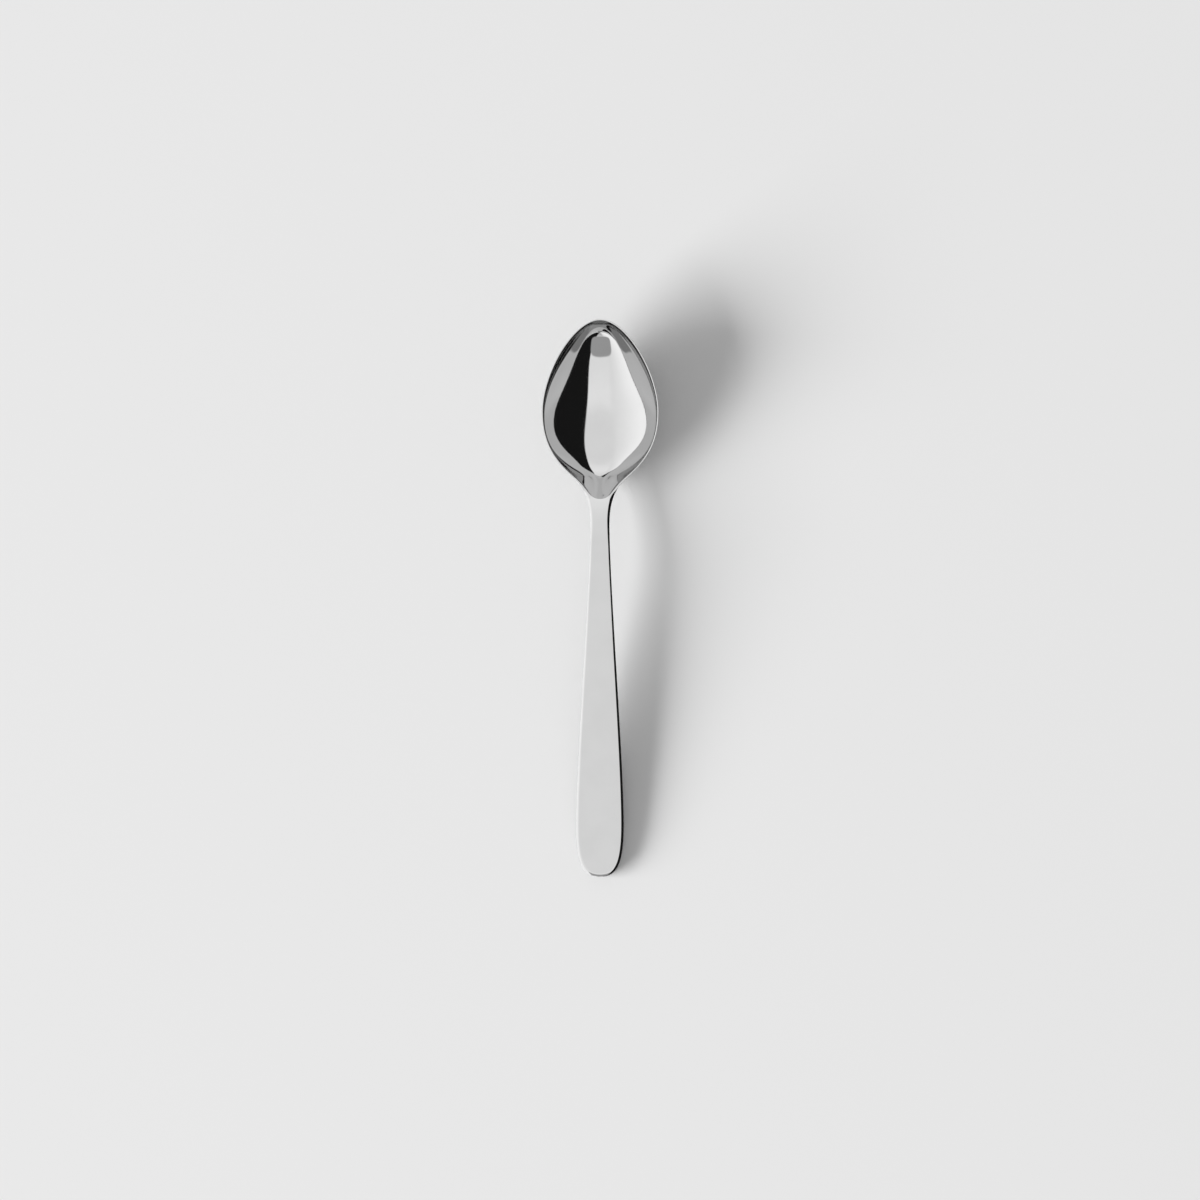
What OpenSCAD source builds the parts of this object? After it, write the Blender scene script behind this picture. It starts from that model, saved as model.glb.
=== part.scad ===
// Teaspoon: a flat tapered handle and a thin egg-shaped bowl.
// The length lies along Y with the bowl's tip at +Y, and Z is up from the table.
// The origin is on the table, halfway along the spoon.

/* [Overall] */
// Length from the handle's end to the bowl's tip
spoon_length = 140; // [125:1:160]
// Length of the bowl from its tip back to the crease at the neck
bowl_length = 45.2; // [43:0.2:48]
// Width of the bowl at its widest place
bowl_width = 29.4; // [25:0.2:34]
// Width of the handle near its end
handle_width = 11.9; // [8:0.1:16]
// Width of the neck at its narrowest place
neck_width = 4.75; // [4:0.05:6]

/* [Outline] */
// Distance from the tip back to the widest place of the bowl
widest_from_tip = 23.3; // [20:0.1:26]
// Distance from the tip back to the turn of the outline beside the neck
turn_from_tip = 39.8; // [38:0.1:41]
// Distance from the tip back to the narrowest place of the neck
neck_from_tip = 51.7; // [50:0.1:56]
// Distance from the handle's end to its widest place
handle_widest_from_end = 13; // [9:0.5:20]
// Width of the outline at the turn beside the neck
turn_width = 13.6; // [12:0.1:15]
// Width of the crease between its two corners
crease_width = 4.7; // [4:0.1:5.4]
// How far the crease's corners lie nearer the tip than its middle
crease_sag = 0.9; // [0.4:0.1:1.6]

/* [Heights] */
// Height of the handle's top face at its end
end_height = 2.8; // [2.6:0.1:4]
// Height of the handle's top face where its straight run ends
arch_height = 9.7; // [8:0.1:12]
// Distance from the crease back to the end of the straight run
arch_length = 24.8; // [20:0.2:30]
// Height of the crease where the flat of the handle meets the bowl
crease_height = 7.5; // [6:0.1:9]
// Height of the rim at the bowl's tip
tip_height = 15.2; // [11:0.1:16]
// Slope of the neck down to the crease, in degrees
neck_angle = 28; // [5:1:30]
// Slope of the rim where it leaves the crease, in degrees
rim_start_angle = 0; // [0:1:10]
// Slope of the rim at the tip, in degrees
rim_tip_angle = 0.6; // [0:0.2:10]

/* [Hollow] */
// Distance from the crease to the lowest place inside the bowl
bottom_from_crease = 12; // [11:0.2:16]
// Distance from the crease to the foot of the steep heel behind the bowl
foot_from_crease = 9.4; // [8.6:0.1:10.4]
// Slope of the floor at the heel's foot, in degrees
foot_angle = 7.5; // [4:0.5:14]
// Slope of the bowl's floor where it leaves the crease, in degrees
crease_angle = 42; // [39:1:46]
// Slope of the bowl's floor where the steep lip at the tip begins, in degrees
tip_angle = 60; // [50:1:66]
// Slope of the steep lip at the tip, in degrees
lip_angle = 70; // [66:1:76]
// Width of the steep lip at the tip, seen from above
lip_width = 1.1; // [0.6:0.1:1.4]

/* [Metal] */
// Thickness of the metal in the bowl, measured straight down
bowl_wall = 1; // [0.8:0.1:1.4]
// Thickness of the handle
handle_thickness = 2.5; // [2:0.1:3]
// Length of the level rest under the handle's end
rest_length = 7; // [5:0.5:12]
// Width of the level band on the rim
rim_width = 0.3; // [0.2:0.05:0.6]
// Width of the level band where it reaches the crease
rim_width_at_neck = 0.95; // [0.7:0.05:1.2]
// Distance along the spoon over which the band and the metal grow thin past the neck
thin_length = 8; // [6:0.5:9]

/* [Hidden] */

// Steps along each stretch of the outline, round the crease and down into the hollow
curve_steps = 14;
crease_steps = 8;
ring_steps = 13;

// Shares that shape the curves: how far each end's handle reaches along its stretch
tip_round_share = 0.46;
tip_side_share = 0.42;
back_side_share = 0.475;
back_turn_share = 0.26;
turn_lean_share = 1.15;
flare_turn_share = 0.19;
flare_neck_share = 0.55;
taper_neck_share = 0.19;
taper_end_share = 0.215;
cap_side_share = 0.74;
cap_end_share = 0.735;
arch_share = 0.27;
neck_share = 0.08;
rim_share = 0.49;
heel_share = 1;
front_share = 0.66;
wall_share = 0.36;
// Roundness of the cross-section from the crease to the tip, as powers
inner_power_shares = [2.5, 2.6, 1.5, 1.5, 2.5, 2];
outer_power_shares = [0.9, 0.9, 0.8, 0.65, 0.5, 0.4];

// Places along Y
tip_y = spoon_length / 2;
end_y = -spoon_length / 2;
widest_y = tip_y - widest_from_tip;
crease_y = tip_y - bowl_length;
corner_y = crease_y + crease_sag;
turn_y = tip_y - turn_from_tip;
neck_y = tip_y - neck_from_tip;
handle_y = end_y + handle_widest_from_end;
arch_y = crease_y - arch_length;
foot_y = crease_y + foot_from_crease;
bottom_y = crease_y + bottom_from_crease;
hollow_tip_y = tip_y - rim_width;

// A point and a whole run of points on a curve with four control points
function curve_point(c, u) =
    (1 - u)^3 * c[0] + 3 * (1 - u)^2 * u * c[1] + 3 * (1 - u) * u^2 * c[2] + u^3 * c[3];
function curve(c, steps, from = 0) = [for (i = [from : steps]) curve_point(c, i / steps)];
// A smooth run of shares along the bowl, from t = 0 at the crease to t = 1 at the tip
function blend(c, t) = let(place = t * (len(c) - 3), i = min(floor(place), len(c) - 4), u = place - i)
    ((1 - u)^3 * c[i] + (3 * u^3 - 6 * u^2 + 4) * c[i + 1]
        + (-3 * u^3 + 3 * u^2 + 3 * u + 1) * c[i + 2] + u^3 * c[i + 3]) / 6;
function flipped(points) = [for (i = [len(points) - 1 : -1 : 0]) points[i]];
function mirrored(points) = [for (p = points) [-p[0], p[1]]];
function swapped(points) = [for (p = points) [p[1], p[0]]];

// Right half of the outline, from the tip back to the handle's end
widest_back = widest_y - turn_y;
turn_drop = widest_back * back_turn_share;
flare_drop = (turn_y - neck_y) * flare_turn_share;
outline_side = concat(
    curve([[0, tip_y], [bowl_width / 2 * tip_round_share, tip_y],
        [bowl_width / 2, widest_y + widest_from_tip * tip_side_share], [bowl_width / 2, widest_y]], curve_steps),
    curve([[bowl_width / 2, widest_y], [bowl_width / 2, widest_y - widest_back * back_side_share],
        [turn_width / 2 + turn_drop * turn_lean_share, turn_y + turn_drop], [turn_width / 2, turn_y]],
        curve_steps, 1),
    curve([[turn_width / 2, turn_y], [turn_width / 2 - flare_drop * turn_lean_share, turn_y - flare_drop],
        [neck_width / 2, neck_y + (turn_y - neck_y) * flare_neck_share], [neck_width / 2, neck_y]],
        curve_steps, 1),
    curve([[neck_width / 2, neck_y], [neck_width / 2, neck_y - (neck_y - handle_y) * taper_neck_share],
        [handle_width / 2, handle_y + (neck_y - handle_y) * taper_end_share], [handle_width / 2, handle_y]],
        curve_steps, 1),
    curve([[handle_width / 2, handle_y], [handle_width / 2, handle_y - handle_widest_from_end * cap_side_share],
        [handle_width / 2 * cap_end_share, end_y], [0, end_y]], curve_steps, 1));

// The joint meets the outline level with the crease's corners, wherever the crease lies
joint_x = lookup(corner_y, swapped(outline_side));
bowl_side = concat([for (p = outline_side) if (p[1] > corner_y) p], [[joint_x, corner_y]]);
handle_side = concat([[joint_x, corner_y]], [for (p = outline_side) if (p[1] < corner_y) p]);

// The crease is an arc from its right corner round to its left one
crease_radius = ((crease_width / 2)^2 + crease_sag^2) / (2 * crease_sag);
function crease_at(x) = crease_y + crease_radius - sqrt(crease_radius^2 - x^2);
crease = [for (i = [0 : crease_steps]) let(x = crease_width * (1 / 2 - i / crease_steps)) [x, crease_at(x)]];

// The hollow's edge lies inside the outline by the width of the level band
function fade(y) = max(0, 1 - (y - corner_y) / thin_length);
function band_at(y) = rim_width + (rim_width_at_neck - rim_width) * fade(y)^4;
function inset_at(i) = i == 0 ? [0, tip_y - rim_width] :
    let(way = bowl_side[i + 1] - bowl_side[i - 1])
        bowl_side[i] + band_at(bowl_side[i][1]) * [way[1], -way[0]] / norm(way);
hollow_side = concat([for (i = [0 : len(bowl_side) - 2]) let(p = inset_at(i)) if (p[1] > corner_y) p], [crease[0]]);
hollow_half = swapped(concat(flipped([for (i = [0 : crease_steps / 2]) crease[i]]), flipped(hollow_side)));

// Heights of the top: straight handle, arched neck, then the rim up to the tip
handle_rise = (arch_height - end_height) / (arch_y - end_y);
arch_run = arch_length * arch_share;
neck_run = arch_length * neck_share;
rim_run = bowl_length * rim_share;
top_line = concat([[end_y, end_height]],
    curve([[arch_y, arch_height], [arch_y + arch_run, arch_height + arch_run * handle_rise],
        [crease_y - neck_run, crease_height + neck_run * tan(neck_angle)], [crease_y, crease_height]], curve_steps),
    curve([[crease_y, crease_height], [crease_y + rim_run, crease_height + rim_run * tan(rim_start_angle)],
        [tip_y - rim_run, tip_height - rim_run * tan(rim_tip_angle)], [tip_y, tip_height]], 2 * curve_steps, 1));
// Heights along the middle of the hollow: down the heel to its foot, level at the bottom, up to the tip
foot_run = (bottom_y - foot_y) / 3;
foot_height = bowl_wall + (bottom_y - foot_y) / 2 * tan(foot_angle);
heel_bend = (crease_height - foot_height - foot_from_crease * tan(foot_angle)) / (tan(crease_angle) - tan(foot_angle));
heel_run = heel_bend * heel_share;
heel_reach = (foot_from_crease - heel_bend) * heel_share;
lip_y = hollow_tip_y - lip_width;
lip_height = lookup(hollow_tip_y, top_line) - lip_width * tan(lip_angle);
front_run = lip_y - bottom_y;
wall_drop = (lip_height - bowl_wall) * wall_share;
floor_line = concat(
    curve([[crease_y, crease_height], [crease_y + heel_run, crease_height - heel_run * tan(crease_angle)],
        [foot_y - heel_reach, foot_height + heel_reach * tan(foot_angle)], [foot_y, foot_height]], curve_steps),
    curve([[foot_y, foot_height], [foot_y + foot_run, foot_height - foot_run * tan(foot_angle)],
        [bottom_y - foot_run, bowl_wall], [bottom_y, bowl_wall]], curve_steps, 1),
    curve([[bottom_y, bowl_wall], [bottom_y + front_run * front_share, bowl_wall],
        [lip_y - wall_drop / tan(tip_angle), lip_height - wall_drop], [lip_y, lip_height]], 2 * curve_steps, 1),
    [[hollow_tip_y, lookup(hollow_tip_y, top_line)]]);

// Height of the hollow's surface at a point inside its edge
function hollow_at(p) =
    let(y = min(p[1], hollow_tip_y), t = min(1, max(0, (y - crease_y) / bowl_length)), top = lookup(y, top_line),
        across = min(1, abs(p[0]) / max(lookup(y, hollow_half), rim_width / 100)))
        top - (top - lookup(y, floor_line))
            * (1 - across^blend(inner_power_shares, t))^blend(outer_power_shares, t);
// Thickness straight down, which grows towards the neck
function metal_at(y) = bowl_wall + (handle_thickness - bowl_wall) * min(1, fade(y))^2;

// Loops round the bowl: the hollow's edge, the outline, and the hollow's edge matched to the outline
hollow_loop = concat(hollow_side, [for (i = [1 : crease_steps - 1]) crease[i]],
    flipped(mirrored([for (i = [1 : len(hollow_side) - 1]) hollow_side[i]])));
joint_path = concat([bowl_side[len(bowl_side) - 1]], crease, mirrored([bowl_side[len(bowl_side) - 1]]));
outline_loop = concat([for (i = [0 : len(bowl_side) - 2]) bowl_side[i]], joint_path,
    flipped(mirrored([for (i = [1 : len(bowl_side) - 2]) bowl_side[i]])));
matched_loop = concat(hollow_side, crease, mirrored([crease[0]]),
    flipped(mirrored([for (i = [1 : len(hollow_side) - 2]) hollow_side[i]])));
middle = [0, (bottom_y + widest_y) / 2];

// A share of the way from the middle out to a loop, close together near the edge
function way_out(ring) = 1 - (1 - ring / ring_steps)^2;
function ring_plan(loop, ring) = [for (p = loop) middle + way_out(ring) * (p - middle)];
function hollow_ring(ring) = [for (p = ring_plan(hollow_loop, ring))
    [p[0], p[1], ring == ring_steps ? lookup(p[1], top_line) : hollow_at(p)]];
function outside_ring(ring) = let(plan = ring_plan(outline_loop, ring), match = ring_plan(matched_loop, ring))
    [for (i = [0 : len(plan) - 1]) [plan[i][0], plan[i][1],
        (ring == ring_steps ? lookup(plan[i][1], top_line) : hollow_at(match[i])) - metal_at(plan[i][1])]];

// Triangles between two loops of the same length, and from a loop to one point
function strip(a, b, count) = [for (i = [0 : count - 1]) let(j = (i + 1) % count)
    each [[a + i, a + j, b + i], [a + j, b + j, b + i]]];
function fan(a, point, count) = [for (i = [0 : count - 1]) [a + i, a + (i + 1) % count, point]];

module handle() {
    plan = concat(handle_side, flipped(mirrored([for (i = [0 : len(handle_side) - 2]) handle_side[i]])),
        flipped([for (i = [1 : len(joint_path) - 2]) joint_path[i]]));
    below = [for (p = flipped(top_line)) if (p[0] >= arch_y && p[0] < widest_y) p - [0, handle_thickness]];
    side = concat([for (p = top_line) if (p[0] < widest_y) p], below, [[end_y + rest_length, 0], [end_y, 0]]);
    color("silver")
        intersection() {
            linear_extrude(2 * tip_height) polygon(plan);
            rotate([90, 0, 90]) linear_extrude(2 * bowl_width, center = true) polygon(side);
        }
}

module bowl() {
    inner = len(hollow_loop);
    outer = len(outline_loop);
    side = len(hollow_side);
    top = inner * ring_steps;
    below = top + outer;
    points = concat(
        [for (ring = [1 : ring_steps]) each hollow_ring(ring)],
        [for (p = outline_loop) [p[0], p[1], lookup(p[1], top_line)]],
        [for (ring = [ring_steps : -1 : 1]) each outside_ring(ring)],
        [[middle[0], middle[1], hollow_at(middle)],
            [middle[0], middle[1], hollow_at(middle) - metal_at(middle[1])]]);
    hollow_middle = len(points) - 2;
    edge = top - inner;
    faces = concat(
        fan(0, hollow_middle, inner),
        [for (ring = [1 : ring_steps - 1]) each strip(inner * ring, inner * (ring - 1), inner)],
        // The level band, down both sides from the tip to the crease
        [for (i = [0 : side - 2]) each [[top + i, top + i + 1, edge + i], [top + i + 1, edge + i + 1, edge + i]]],
        [for (i = [0 : side - 2]) let(a = (inner - i) % inner, b = inner - i - 1,
            c = (outer - i) % outer, d = outer - i - 1)
            each [[top + d, top + c, edge + a], [top + d, edge + a, edge + b]]],
        strip(below, top, outer),
        [for (ring = [1 : ring_steps - 1]) each strip(below + outer * ring, below + outer * (ring - 1), outer)],
        [for (f = fan(below + outer * (ring_steps - 1), hollow_middle + 1, outer)) [f[1], f[0], f[2]]]);
    color("silver") polyhedron(points, faces);
}

handle();
bowl();
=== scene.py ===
import bisect
import math
import bpy
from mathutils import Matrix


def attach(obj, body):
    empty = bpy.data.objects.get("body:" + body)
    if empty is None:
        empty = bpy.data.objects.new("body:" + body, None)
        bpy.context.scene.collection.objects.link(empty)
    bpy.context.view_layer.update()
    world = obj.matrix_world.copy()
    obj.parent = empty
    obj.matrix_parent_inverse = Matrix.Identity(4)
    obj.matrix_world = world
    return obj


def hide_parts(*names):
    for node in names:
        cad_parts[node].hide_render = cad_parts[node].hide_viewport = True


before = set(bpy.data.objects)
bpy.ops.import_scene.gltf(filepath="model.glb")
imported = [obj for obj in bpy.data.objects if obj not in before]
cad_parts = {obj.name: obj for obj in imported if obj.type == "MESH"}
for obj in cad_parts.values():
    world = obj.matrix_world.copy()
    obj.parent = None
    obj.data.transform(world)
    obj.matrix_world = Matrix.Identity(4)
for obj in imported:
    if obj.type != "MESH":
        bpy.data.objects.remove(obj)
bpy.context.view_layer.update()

mm = 0.001

# Sizes of the spoon in mm and degrees, in the frame of the solids: the bowl's tip is at +Y
spoon = {
    "length": 140.0,
    "bowlLength": 45.2,
    "bowlWidth": 29.4,
    "handleWidth": 11.9,
    "neckWidth": 4.75,
    "widestFromTip": 23.3,
    "turnFromTip": 39.8,
    "neckFromTip": 51.7,
    "handleWidestFromEnd": 13.0,
    "turnWidth": 13.6,
    "creaseWidth": 4.7,
    "creaseSag": 0.9,
    "endHeight": 2.8,
    "archHeight": 9.7,
    "archLength": 24.8,
    "creaseHeight": 7.5,
    "tipHeight": 15.2,
    "neckAngle": 28.0,
    "rimStartAngle": 0.0,
    "rimTipAngle": 0.6,
    "handleThickness": 2.5,
    "bowlWall": 1.0,
    "thinLength": 8.0,
}

tipY = spoon["length"] / 2
endY = -spoon["length"] / 2
widestY = tipY - spoon["widestFromTip"]
turnY = tipY - spoon["turnFromTip"]
creaseY = tipY - spoon["bowlLength"]
cornerY = creaseY + spoon["creaseSag"]
neckY = tipY - spoon["neckFromTip"]
handleY = endY + spoon["handleWidestFromEnd"]
archY = creaseY - spoon["archLength"]
halfBowl = spoon["bowlWidth"] / 2
halfHandle = spoon["handleWidth"] / 2
halfNeck = spoon["neckWidth"] / 2
halfTurn = spoon["turnWidth"] / 2


def slopeOf(angle):
    return math.tan(math.radians(angle))


def curve(c, steps, first=0):
    # points along a curve with four control points
    points = []
    for i in range(first, steps + 1):
        u = i / steps
        v = 1 - u
        points.append(tuple(v ** 3 * a + 3 * v * v * u * b + 3 * v * u * u * d + u ** 3 * e
                            for a, b, d, e in zip(*c)))
    return points


def blend(c, t):
    # a smooth run of values along the bowl, from t = 0 at the crease to t = 1 at the tip
    place = t * (len(c) - 3)
    i = min(int(place), len(c) - 4)
    u = place - i
    return ((1 - u) ** 3 * c[i] + (3 * u ** 3 - 6 * u ** 2 + 4) * c[i + 1]
            + (-3 * u ** 3 + 3 * u ** 2 + 3 * u + 1) * c[i + 2] + u ** 3 * c[i + 3]) / 6


def asLine(points):
    return [p[0] for p in points], [p[1] for p in points]


def readLine(line, key):
    keys, values = line
    i = min(max(bisect.bisect_right(keys, key), 1), len(keys) - 1)
    t = min(max((key - keys[i - 1]) / (keys[i] - keys[i - 1]), 0), 1)
    return values[i - 1] * (1 - t) + values[i] * t


# Right half of the outline, from the tip back to the handle's end
outline = {
    "tipRound": 0.46,
    "tipSide": 0.42,
    "backSide": 0.475,
    "backTurn": 0.26,
    "turnLean": 1.15,
    "flareTurn": 0.19,
    "flareNeck": 0.55,
    "taperNeck": 0.19,
    "taperEnd": 0.215,
    "capSide": 0.74,
    "capEnd": 0.735,
    "steps": 56,
    "creaseSteps": 24,
    "cornerGap": 0.02,        # mm, no point of the outline comes closer to the crease's corner
}
steps = outline["steps"]
turnDrop = (widestY - turnY) * outline["backTurn"]
flareDrop = (turnY - neckY) * outline["flareTurn"]
taper = neckY - handleY
tipSideY = widestY + spoon["widestFromTip"] * outline["tipSide"]
backSideY = widestY - (widestY - turnY) * outline["backSide"]
flareNeckY = neckY + (turnY - neckY) * outline["flareNeck"]
capSideY = handleY - spoon["handleWidestFromEnd"] * outline["capSide"]
outlineSide = curve([(0, tipY), (halfBowl * outline["tipRound"], tipY),
                     (halfBowl, tipSideY), (halfBowl, widestY)], steps)
outlineSide += curve([(halfBowl, widestY), (halfBowl, backSideY),
                      (halfTurn + turnDrop * outline["turnLean"], turnY + turnDrop),
                      (halfTurn, turnY)], steps, 1)
outlineSide += curve([(halfTurn, turnY),
                      (halfTurn - flareDrop * outline["turnLean"], turnY - flareDrop),
                      (halfNeck, flareNeckY), (halfNeck, neckY)], steps, 1)
outlineSide += curve([(halfNeck, neckY), (halfNeck, neckY - taper * outline["taperNeck"]),
                      (halfHandle, handleY + taper * outline["taperEnd"]),
                      (halfHandle, handleY)], steps, 1)
outlineSide += curve([(halfHandle, handleY), (halfHandle, capSideY),
                      (halfHandle * outline["capEnd"], endY), (0, endY)], steps, 1)
jointX = readLine(asLine([(y, x) for x, y in reversed(outlineSide)]), cornerY)
cornerPoint = (jointX, cornerY)
bowlSide = [p for p in outlineSide if p[1] > cornerY + outline["cornerGap"]] + [cornerPoint]
handleSide = [cornerPoint] + [p for p in outlineSide if p[1] < cornerY - outline["cornerGap"]]

# The crease is an arc from its right corner round to its left one
halfCrease = spoon["creaseWidth"] / 2
creaseRadius = (halfCrease ** 2 + spoon["creaseSag"] ** 2) / (2 * spoon["creaseSag"])
crease = []
for i in range(outline["creaseSteps"] + 1):
    x = halfCrease * (1 - 2 * i / outline["creaseSteps"])
    crease.append((x, creaseY + creaseRadius - math.sqrt(creaseRadius ** 2 - x * x)))

# Heights of the top: straight handle, arched neck, then the rim up to the tip
heights = {
    "arch": 0.27,
    "neck": 0.08,
    "rim": 0.49,
    "steps": 300,
}
handleRise = (spoon["archHeight"] - spoon["endHeight"]) / (archY - endY)
archRun = spoon["archLength"] * heights["arch"]
neckRun = spoon["archLength"] * heights["neck"]
rimRun = spoon["bowlLength"] * heights["rim"]
topPoints = [(endY, spoon["endHeight"])]
topPoints += curve([(archY, spoon["archHeight"]),
                    (archY + archRun, spoon["archHeight"] + archRun * handleRise),
                    (creaseY - neckRun,
                     spoon["creaseHeight"] + neckRun * slopeOf(spoon["neckAngle"])),
                    (creaseY, spoon["creaseHeight"])], heights["steps"])
topPoints += curve([(creaseY, spoon["creaseHeight"]),
                    (creaseY + rimRun,
                     spoon["creaseHeight"] + rimRun * slopeOf(spoon["rimStartAngle"])),
                    (tipY - rimRun,
                     spoon["tipHeight"] - rimRun * slopeOf(spoon["rimTipAngle"])),
                    (tipY, spoon["tipHeight"])], heights["steps"], 1)
topLine = asLine(topPoints)


def topAt(y):
    return readLine(topLine, y)


# The edges are softened from level to 45 degrees, above an upright side. How far in this starts
# is given in mm against Y along the handle, and it fades to a narrow edge round the bowl.
edges = {
    "insets": [(-70, 0.8), (-50, 0.75), (-13, 0.62), (0, 0.52), (13, 0.52), (20, 0.72), (25, 0.8)],
    "rimInset": 0.05,
    "fadeFrom": 25.2,
    "fadeLength": 2.6,
    "lastAngle": 45.0,
    "steps": 9,
    "sharpStart": 2.0,        # 1 turns evenly, and more turns sooner beside the face
    "faceMargin": 0.03,       # a close second line keeps the flat of the handle flat
}
insetLine = asLine(edges["insets"])
edgeShape = [(0.0, 0.0)]      # across and down, as shares of the inset
for k in range(1, edges["steps"] + 1):
    across = (k / edges["steps"]) ** edges["sharpStart"]
    steepness = slopeOf(edges["lastAngle"] * (k - 0.5) / edges["steps"])
    edgeShape.append((across, edgeShape[-1][1] + (across - edgeShape[-1][0]) * steepness))


def edgeInsetAt(y):
    t = min(max((edges["fadeFrom"] + edges["fadeLength"] - y) / edges["fadeLength"], 0), 1)
    return edges["rimInset"] + (readLine(insetLine, y) - edges["rimInset"]) * t * t * (3 - 2 * t)


noNormal = (0.0, 0.0)         # of the points on the crease, which isn't softened


def sideNormals(points, atEnds):
    # unit normals of a line of points, pointing away from the spoon's middle line
    normals = []
    for i in range(len(points)):
        a, b = points[max(i - 1, 0)], points[min(i + 1, len(points) - 1)]
        dx, dy = b[0] - a[0], b[1] - a[1]
        size = math.hypot(dx, dy)
        normals.append(atEnds.get(i, (-dy / size, dx / size)))
    return normals


def edgeProfile(x, y, normal, inset, top, below):
    # from the top face over to the side, down it, and round to the lower face
    over = [(inset * (1 - across), inset * down) for across, down in edgeShape]
    over.insert(0, (inset + (edges["faceMargin"] if normal != noNormal else 0.0), 0.0))
    points = [(x - normal[0] * a, y - normal[1] * a, top - d) for a, d in over]
    points += [(x - normal[0] * a, y - normal[1] * a, below + d) for a, d in reversed(over)]
    return points


def strip(a, b, closed=True):
    # quads between two rows of point numbers
    n = len(a)
    return [(a[i], a[(i + 1) % n], b[(i + 1) % n], b[i]) for i in range(n if closed else n - 1)]


# A mirror polish shows every dent, so the surfaces are worked out point by point, and Blender's
# operators only finish them
meshing = {
    "mergeWithin": 0.001,     # mm
    "smoothAngle": 32.0,
}


def makePiece(name, points, faces, node):
    mesh = bpy.data.meshes.new(name)
    mesh.from_pydata([(x * mm, y * mm, z * mm) for x, y, z in points], [], faces)
    piece = bpy.data.objects.new(name, mesh)
    bpy.context.scene.collection.objects.link(piece)
    bpy.ops.object.select_all(action="DESELECT")
    piece.select_set(True)
    bpy.context.view_layer.objects.active = piece
    bpy.ops.object.mode_set(mode="EDIT")
    bpy.ops.mesh.select_all(action="SELECT")
    bpy.ops.mesh.remove_doubles(threshold=meshing["mergeWithin"] * mm)
    bpy.ops.mesh.select_all(action="SELECT")
    bpy.ops.mesh.normals_make_consistent(inside=False)
    bpy.ops.object.mode_set(mode="OBJECT")
    bpy.ops.object.shade_smooth_by_angle(angle=math.radians(meshing["smoothAngle"]))
    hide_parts(node)
    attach(piece, "root")
    return piece


# Bowl

bowl = {
    "bottomFromCrease": 12.0,
    "footFromCrease": 9.4,
    "footAngle": 7.5,
    "creaseAngle": 42.0,
    "tipAngle": 60.0,
    "lipAngle": 70.0,
    "lipWidth": 1.1,
    "rimWidth": 0.3,
    "rimWidthAtNeck": 0.95,
    "heel": 1.0,
    "front": 0.66,
    "wall": 0.36,
    "innerPowers": [2.5, 2.6, 1.5, 1.5, 2.5, 2.0],
    "outerPowers": [0.9, 0.9, 0.8, 0.65, 0.5, 0.4],
    "rings": 72,
    "outsideRings": 36,
    "leastHalf": 0.003,       # mm, the hollow counts as no narrower than this at its two ends
    "middle": (0.0, 43.0),    # the rings of points run round it
}
footY = creaseY + bowl["footFromCrease"]
bottomY = creaseY + bowl["bottomFromCrease"]
hollowTipY = tipY - bowl["rimWidth"]
wall = spoon["bowlWall"]
footRun = (bottomY - footY) / 3
footSlope = slopeOf(bowl["footAngle"])
creaseSlope = slopeOf(bowl["creaseAngle"])
footHeight = wall + (bottomY - footY) / 2 * footSlope
heelDrop = spoon["creaseHeight"] - footHeight - bowl["footFromCrease"] * footSlope
heelBend = heelDrop / (creaseSlope - footSlope)
heelRun = heelBend * bowl["heel"]
heelReach = (bowl["footFromCrease"] - heelBend) * bowl["heel"]
lipY = hollowTipY - bowl["lipWidth"]
lipHeight = topAt(hollowTipY) - bowl["lipWidth"] * slopeOf(bowl["lipAngle"])
frontRun = lipY - bottomY
wallDrop = (lipHeight - wall) * bowl["wall"]
floorLine = asLine(
    curve([(creaseY, spoon["creaseHeight"]),
           (creaseY + heelRun, spoon["creaseHeight"] - heelRun * creaseSlope),
           (footY - heelReach, footHeight + heelReach * footSlope),
           (footY, footHeight)], heights["steps"])
    + curve([(footY, footHeight), (footY + footRun, footHeight - footRun * footSlope),
             (bottomY - footRun, wall), (bottomY, wall)], heights["steps"], 1)
    + curve([(bottomY, wall), (bottomY + frontRun * bowl["front"], wall),
             (lipY - wallDrop / slopeOf(bowl["tipAngle"]), lipHeight - wallDrop),
             (lipY, lipHeight)], heights["steps"], 1)
    + [(hollowTipY, topAt(hollowTipY))])


def fade(y):
    # 1 at the crease's corners, down to 0 where the metal has its full thinness
    return max(0.0, 1 - (y - cornerY) / spoon["thinLength"])


def bandAt(y):
    return bowl["rimWidth"] + (bowl["rimWidthAtNeck"] - bowl["rimWidth"]) * fade(y) ** 4


def metalAt(y):
    return wall + (spoon["handleThickness"] - wall) * min(1, fade(y)) ** 2


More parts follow.
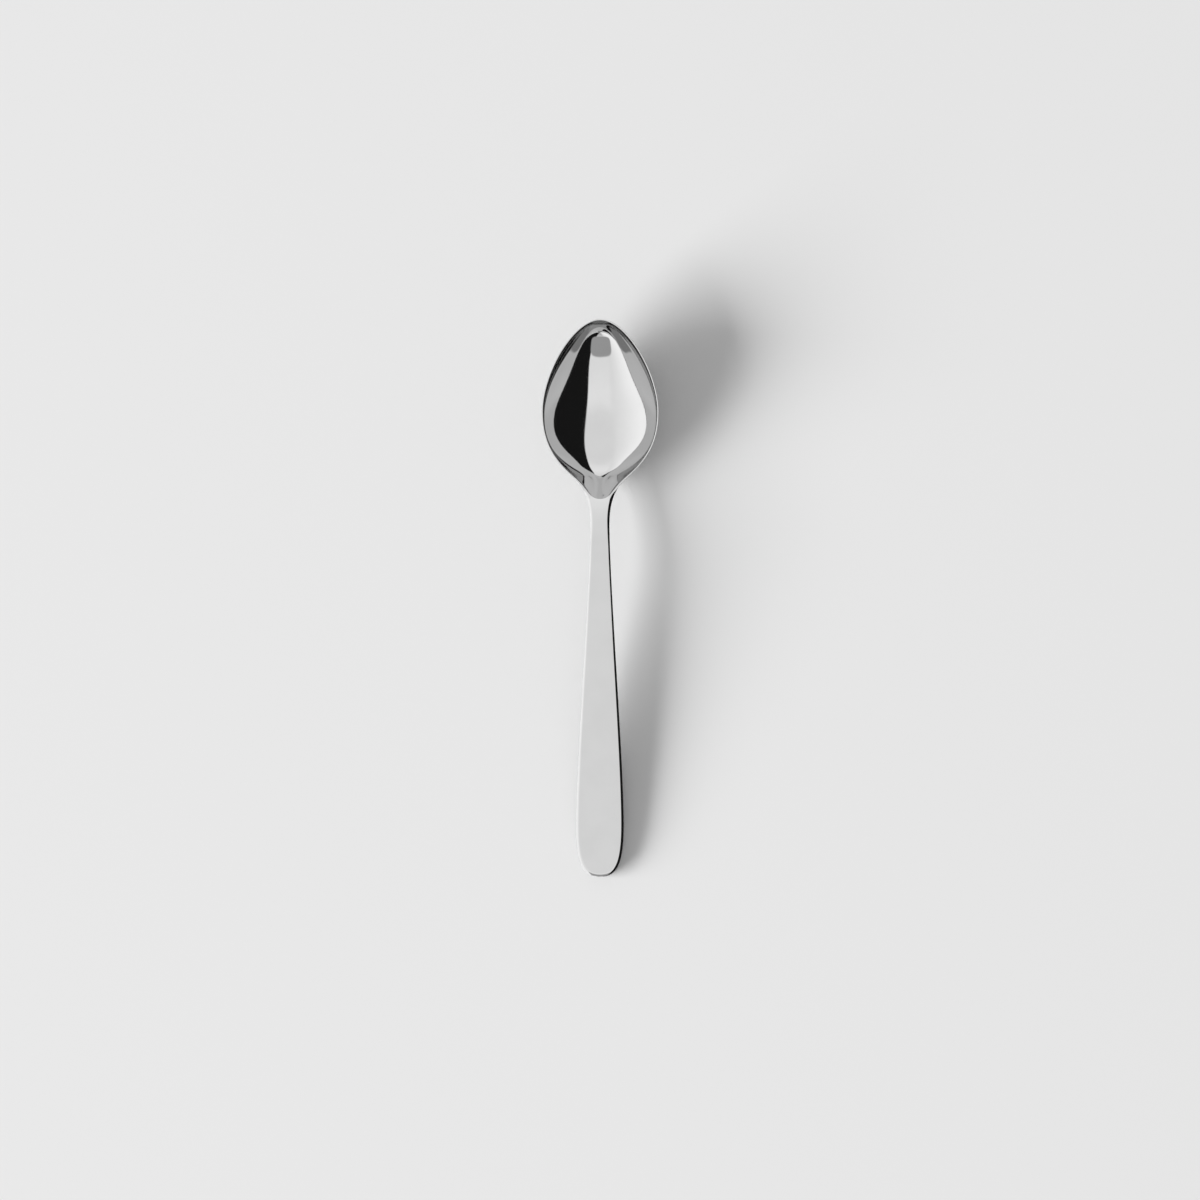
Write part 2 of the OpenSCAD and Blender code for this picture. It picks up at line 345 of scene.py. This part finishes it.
def buildBowl():
    last = len(bowlSide) - 1
    normals = sideNormals(bowlSide, {0: (0.0, 1.0)})
    # the hollow's edge, with its last points all at the crease's corner
    hollowSide = []
    for (x, y), (nx, ny) in zip(bowlSide[:last], normals):
        inner = (x - nx * bandAt(y), y - ny * bandAt(y))
        hollowSide.append(inner if inner[1] > cornerY + outline["cornerGap"] else crease[0])
    hollowSide.append(crease[0])
    edge = [p for p in hollowSide if p != crease[0]] + crease[:len(crease) // 2 + 1]
    hollowHalf = asLine([(y, x) for x, y in reversed(edge)])

    def hollowAt(x, y):
        y = min(y, hollowTipY)
        t = min(1.0, max(0.0, (y - creaseY) / spoon["bowlLength"]))
        top = topAt(y)
        across = min(1.0, abs(x) / max(readLine(hollowHalf, y), bowl["leastHalf"]))
        depth = (1 - across ** blend(bowl["innerPowers"], t)) ** blend(bowl["outerPowers"], t)
        return top - (top - readLine(floorLine, y)) * depth

    # every outline point goes with its normal and the point of the hollow's edge that it belongs to
    right = [(bowlSide[i], normals[i], hollowSide[i]) for i in range(last + 1)]
    left = [((-x, y), (-nx, ny), (-hx, hy)) for (x, y), (nx, ny), (hx, hy) in reversed(right[1:])]
    loop = right + [(p, noNormal, p) for p in crease] + left
    count = len(loop)
    cx, cy = bowl["middle"]
    points = [(cx, cy, hollowAt(cx, cy))]
    rows = []

    def addRow(row):
        rows.append(list(range(len(points), len(points) + len(row))))
        points.extend(row)

    for ring in range(1, bowl["rings"] + 1):
        way = 1 - (1 - ring / bowl["rings"]) ** 2
        row = []
        for outer, normal, (mx, my) in loop:
            x, y = cx + way * (mx - cx), cy + way * (my - cy)
            row.append((x, y, topAt(y) if ring == bowl["rings"] else hollowAt(x, y)))
        addRow(row)
    profiles = []
    for (x, y), normal, match in loop:
        inset = edgeInsetAt(y) if normal != noNormal else 0.0
        profiles.append(edgeProfile(x, y, normal, inset, topAt(y), topAt(y) - metalAt(y)))
    for k in range(len(profiles[0])):
        addRow([p[k] for p in profiles])
    for ring in range(bowl["outsideRings"] - 1, 0, -1):
        way = 1 - (1 - ring / bowl["outsideRings"]) ** 2
        row = []
        for profile, (outer, normal, match) in zip(profiles, loop):
            x, y = cx + way * (profile[-1][0] - cx), cy + way * (profile[-1][1] - cy)
            mx, my = cx + way * (match[0] - cx), cy + way * (match[1] - cy)
            row.append((x, y, hollowAt(mx, my) - metalAt(y)))
        addRow(row)
    points.append((cx, cy, hollowAt(cx, cy) - metalAt(cy)))
    faces = [(0, rows[0][i], rows[0][(i + 1) % count]) for i in range(count)]
    for a, b in zip(rows, rows[1:]):
        faces += strip(a, b)
    faces += [(len(points) - 1, rows[-1][(i + 1) % count], rows[-1][i]) for i in range(count)]
    return makePiece("spoon_bowl", points, faces, "bowl")


# Handle

handle = {
    "restLength": 7.0,
    "hornLength": 0.1,        # the faces run across from this far behind the crease
}


def underAt(y):
    restY = endY + handle["restLength"]
    if y >= archY:
        return topAt(y) - spoon["handleThickness"]
    start = spoon["archHeight"] - spoon["handleThickness"]
    return max(0.0, start * (y - restY) / (archY - restY))


def buildHandle():
    last = len(handleSide) - 1
    normals = sideNormals(handleSide, {last: (0.0, -1.0)})
    points = []
    right, left = [], []
    for (x, y), normal in zip(handleSide, normals):
        profile = edgeProfile(x, y, normal, edgeInsetAt(y), topAt(y), underAt(y))
        right.append(list(range(len(points), len(points) + len(profile))))
        points.extend((max(px, 0.0), py, pz) for px, py, pz in profile)
    for row in right:
        left.append(list(range(len(points), len(points) + len(row))))
        points.extend((-points[k][0], points[k][1], points[k][2]) for k in row)
    faces = []
    for rows in (right, left):
        for a, b in zip(rows, rows[1:]):
            faces += strip(a, b, closed=False)
    # behind the crease the faces run straight across, and the two horns beside it are one face
    firstWhole = next(i for i, p in enumerate(handleSide) if p[1] < creaseY - handle["hornLength"])
    creaseTop = list(range(len(points), len(points) + len(crease)))
    points.extend((x, y, topAt(y)) for x, y in crease)
    creaseUnder = list(range(len(points), len(points) + len(crease)))
    points.extend((x, y, underAt(y)) for x, y in crease)
    for k, arc in ((0, creaseTop), (-1, creaseUnder)):
        r, l = [row[k] for row in right], [row[k] for row in left]
        for i in range(firstWhole, last):
            faces.append((r[i], r[i + 1], l[i + 1], l[i]))
        faces.append(tuple(r[:firstWhole + 1] + l[firstWhole::-1] + arc[::-1]))
    faces += strip(creaseTop, creaseUnder, closed=False)
    faces.append(tuple(right[0]) + (creaseUnder[0], creaseTop[0]))
    faces.append(tuple(left[0]) + (creaseUnder[-1], creaseTop[-1]))
    return makePiece("spoon_handle", points, faces, "handle")


# Materials

def toLinear(hexColour):
    shares = [int(hexColour[i:i + 2], 16) / 255 for i in (1, 3, 5)]
    return tuple(s / 12.92 if s <= 0.04045 else ((s + 0.055) / 1.055) ** 2.4
                 for s in shares) + (1.0,)


def addNode(tree, kind, settings=None, inputs=None):
    node = tree.nodes.new(kind)
    for key, value in (settings or {}).items():
        setattr(node, key, value)
    for key, value in (inputs or {}).items():
        if isinstance(value, bpy.types.NodeSocket):
            tree.links.new(value, node.inputs[key])
        else:
            node.inputs[key].default_value = value
    return node


# 18/10 stainless steel, stamped from sheet, then buffed along its length to a mirror. The eye gets
# clear reflections, a breath softer at the edges, with hair lines of the buffing wheel and faint
# hazy patches where hands and washing have dulled the polish.
steel = {
    "colour": "#CCCCCC",
    "hazeDark": "#C9C9C9",
    "grazing": "#E3E3E3",
    "hazeSize": 9.0,          # mm across a hazy patch
    "hazeFrom": 0.4,          # the noise runs from 0 to 1, mostly near its middle
    "hazeTo": 0.7,
    "lineWidth": 0.35,        # mm, drawn coarser than the real 0.02 mm so that it shows
    "lineLength": 16.0,       # mm
    "lineShare": 0.5,         # of the roughness, beside that of the haze
    "wornFrom": 0.1,
    "wornTo": 1.2,
    "roughLow": 0.045,
    "roughHigh": 0.065,
    "lineDepth": 0.00035,     # mm
}


def polishedSteel():
    material = bpy.data.materials.new("buffed_stainless_steel")
    material.use_nodes = True
    tree = material.node_tree
    tree.nodes.clear()
    place = addNode(tree, "ShaderNodeTexCoord")
    squeeze = (1.0, steel["lineWidth"] / steel["lineLength"], 1.0)
    along = addNode(tree, "ShaderNodeMapping", None, {
        "Vector": place.outputs["Object"], "Scale": squeeze})
    lines = addNode(tree, "ShaderNodeTexNoise", None, {
        "Vector": along.outputs[0], "Scale": 1 / (steel["lineWidth"] * mm),
        "Detail": 2.0, "Roughness": 0.6})
    haze = addNode(tree, "ShaderNodeTexNoise", None, {
        "Vector": place.outputs["Object"], "Scale": 1 / (steel["hazeSize"] * mm),
        "Detail": 3.0})
    dull = addNode(tree, "ShaderNodeMapRange", None, {
        "Value": haze.outputs[0], "From Min": steel["hazeFrom"], "From Max": steel["hazeTo"]})
    colour = addNode(tree, "ShaderNodeMix", {"data_type": "RGBA"}, {
        0: dull.outputs[0], 6: toLinear(steel["colour"]), 7: toLinear(steel["hazeDark"])})
    worn = addNode(tree, "ShaderNodeMath", {"operation": "MULTIPLY_ADD"}, {
        0: lines.outputs[0], 1: steel["lineShare"], 2: dull.outputs[0]})
    rough = addNode(tree, "ShaderNodeMapRange", None, {
        "Value": worn.outputs[0], "From Min": steel["wornFrom"], "From Max": steel["wornTo"],
        "To Min": steel["roughLow"], "To Max": steel["roughHigh"]})
    bump = addNode(tree, "ShaderNodeBump", None, {
        "Height": lines.outputs[0], "Strength": 1.0, "Distance": steel["lineDepth"] * mm})
    shader = addNode(tree, "ShaderNodeBsdfPrincipled", None, {
        "Base Color": colour.outputs[2], "Metallic": 1.0, "Roughness": rough.outputs[0],
        "Specular Tint": toLinear(steel["grazing"]), "Normal": bump.outputs[0]})
    addNode(tree, "ShaderNodeOutputMaterial", None, {"Surface": shader.outputs[0]})
    return material


# Studio: a pale paper floor, a soft sky and one long, low window lamp at the left

studio = {
    "floorColour": "#E8E8E8",
    "floorSize": 6.0,         # m
    "ambient": 0.43,
    "keyWatts": 2610.0,
    "keyDistance": 12.0,      # m
    "keyAzimuth": 198.0,      # degrees, as are the lamp's lower and upper edge and its width
    "keyLow": 8.0,
    "keyHigh": 32.0,
    "keySpread": 44.0,
    "frameWidth": 301.2,      # mm
    "frameMiddleY": -0.54,    # mm
    "cameraHeight": 1.2,      # m
}


def buildFloor():
    bpy.ops.object.select_all(action="DESELECT")
    bpy.ops.mesh.primitive_plane_add(size=studio["floorSize"], location=(0, 0, 0))
    floor = bpy.context.active_object
    floor.name = "studio_floor"
    material = bpy.data.materials.new("matt_paper_floor")
    material.use_nodes = True
    tree = material.node_tree
    tree.nodes.clear()
    shader = addNode(tree, "ShaderNodeBsdfPrincipled", None, {
        "Base Color": toLinear(studio["floorColour"]), "Roughness": 1.0, "Specular IOR Level": 0.0})
    addNode(tree, "ShaderNodeOutputMaterial", None, {"Surface": shader.outputs[0]})
    floor.data.materials.append(material)


def buildKey():
    middle = math.radians((studio["keyLow"] + studio["keyHigh"]) / 2)
    tall = studio["keyDistance"] * math.radians(studio["keyHigh"] - studio["keyLow"])
    wide = studio["keyDistance"] * math.radians(studio["keySpread"])
    azimuth = math.radians(studio["keyAzimuth"])
    place = [studio["keyDistance"] * c for c in (
        math.cos(middle) * math.cos(azimuth),
        math.cos(middle) * math.sin(azimuth),
        math.sin(middle))]
    bpy.ops.object.select_all(action="DESELECT")
    bpy.ops.object.light_add(type="AREA", location=place,
                             rotation=(math.pi / 2 - middle, 0, azimuth + math.pi / 2))
    lamp = bpy.context.active_object
    lamp.name = "key_window"
    lamp.data.shape = "RECTANGLE"
    lamp.data.size = wide
    lamp.data.size_y = tall
    lamp.data.energy = studio["keyWatts"]
    lamp.visible_glossy = False


# What the polished steel sees round it: a long ceiling panel over the spoon, a wall at -X that
# grows brighter downwards, a black flag at +X and a grey doorway beyond the handle. Angles are in
# degrees from straight up, and a tilt is the slope of the steel that would show the place from
# above. Brightness runs from 0 to "top".
surround = {
    "top": 1.5,
    "panel": [(-90, 0.65), (-84, 0.65), (-80, 1.1), (-47, 1.145), (-35, 1.18), (-26, 1.215),
              (-20, 1.18), (-15, 1.08), (-8, 1.055), (8, 1.055), (15, 1.08), (22, 1.17),
              (31, 1.2), (48, 1.23), (70, 1.1), (85, 1.2)],
    "wall": [(30, 1.05), (39, 1.11), (51, 1.2), (63, 1.32), (75, 1.41), (90, 1.43)],
    "wallFrom": 30.0,
    "wallWhole": 44.0,
    "blackFrom": 37.6,
    "blackWhole": 39.6,
    "black": 0.012,
    "door": 0.47,
    "doorTilt": (-0.03, -0.67),
    "doorHalf": (0.3, 0.185),
    "doorSquareness": 5.0,    # 2 is an oval, and a high number is a box
    "doorSoftness": 0.32,
    "lowest": 0.0001,         # directions below the horizon count as level ones
}


def grey(brightness):
    return (brightness / surround["top"],) * 3 + (1.0,)


def fillRamp(ramp, stops):
    elements = ramp.color_ramp.elements
    while len(elements) > 1:
        elements.remove(elements[-1])
    for i, (place, value) in enumerate(stops):
        element = elements[0] if i == 0 else elements.new(place)
        element.position = place
        element.color = grey(value)


def buildWorld():
    world = bpy.data.worlds.new("studio_world")
    bpy.context.scene.world = world
    world.use_nodes = True
    tree = world.node_tree
    tree.nodes.clear()
    way = addNode(tree, "ShaderNodeTexCoord")
    parts = addNode(tree, "ShaderNodeSeparateXYZ", None, {0: way.outputs["Generated"]})

    def work(kind, *values):
        inputs = dict(enumerate(values))
        return addNode(tree, "ShaderNodeMath", {"operation": kind}, inputs).outputs[0]

    def ease(value, low, high):
        return addNode(tree, "ShaderNodeMapRange", {"interpolation_type": "SMOOTHSTEP"}, {
            "Value": value, "From Min": low, "From Max": high}).outputs[0]

    def readRamp(value, first, last, stops):
        spread = addNode(tree, "ShaderNodeMapRange", None, {
            "Value": value, "From Min": first, "From Max": last})
        ramp = addNode(tree, "ShaderNodeValToRGB", None, {0: spread.outputs[0]})
        fillRamp(ramp, stops)
        return ramp.outputs[0]

    def easeAngle(value, low, high):
        return ease(value, math.radians(surround[low]), math.radians(surround[high]))

    level = math.pi / 2
    up = work("MAXIMUM", parts.outputs["Z"], surround["lowest"])
    side = work("ARCTAN2", parts.outputs["X"], up)
    along = work("ARCTAN2", parts.outputs["Y"], up)
    panelStops = [((angle + 90) / 180, value) for angle, value in surround["panel"]]
    wallStops = [(angle / 90, value) for angle, value in surround["wall"]]
    seen = readRamp(along, -level, level, panelStops)
    wallSeen = readRamp(side, 0.0, -level, wallStops)
    isWall = easeAngle(work("MULTIPLY", side, -1.0), "wallFrom", "wallWhole")
    isBlack = easeAngle(side, "blackFrom", "blackWhole")
    reach = work("ADD", up, 1.0)
    off = 0.0
    for axis, middle, half in zip("XY", surround["doorTilt"], surround["doorHalf"]):
        tilt = work("DIVIDE", parts.outputs[axis], reach)
        away = work("DIVIDE", work("SUBTRACT", tilt, middle), half)
        off = work("ADD", off, work("POWER", work("ABSOLUTE", away), surround["doorSquareness"]))
    isDoor = work("SUBTRACT", 1.0, ease(
        off, 1 - surround["doorSoftness"], 1 + surround["doorSoftness"]))
    for share, colour in ((isWall, wallSeen), (isBlack, grey(surround["black"])),
                          (isDoor, grey(surround["door"]))):
        seen = addNode(tree, "ShaderNodeMix", {"data_type": "RGBA"}, {
            0: share, 6: seen, 7: colour}).outputs[2]
    mirrorWorld = addNode(tree, "ShaderNodeBackground", None, {
        "Color": seen, "Strength": surround["top"]})
    plainWorld = addNode(tree, "ShaderNodeBackground", None, {
        "Color": (1, 1, 1, 1), "Strength": studio["ambient"]})
    ray = addNode(tree, "ShaderNodeLightPath")
    mix = addNode(tree, "ShaderNodeMixShader", None, {
        0: ray.outputs["Is Glossy Ray"], 1: plainWorld.outputs[0], 2: mirrorWorld.outputs[0]})
    addNode(tree, "ShaderNodeOutputWorld", None, {"Surface": mix.outputs[0]})


def buildCamera():
    place = (0, studio["frameMiddleY"] * mm, studio["cameraHeight"])
    bpy.ops.object.camera_add(location=place, rotation=(0, 0, 0))
    camera = bpy.context.active_object
    camera.data.type = "ORTHO"
    camera.data.ortho_scale = studio["frameWidth"] * mm
    bpy.context.scene.camera = camera


bpy.context.scene.view_settings.view_transform = "Standard"
buildCamera()
buildFloor()
buildKey()
buildWorld()
print("studio ready")

steelMaterial = polishedSteel()
for piece in (buildBowl(), buildHandle()):
    piece.data.materials.append(steelMaterial)
    print("made", piece.name, len(piece.data.polygons))
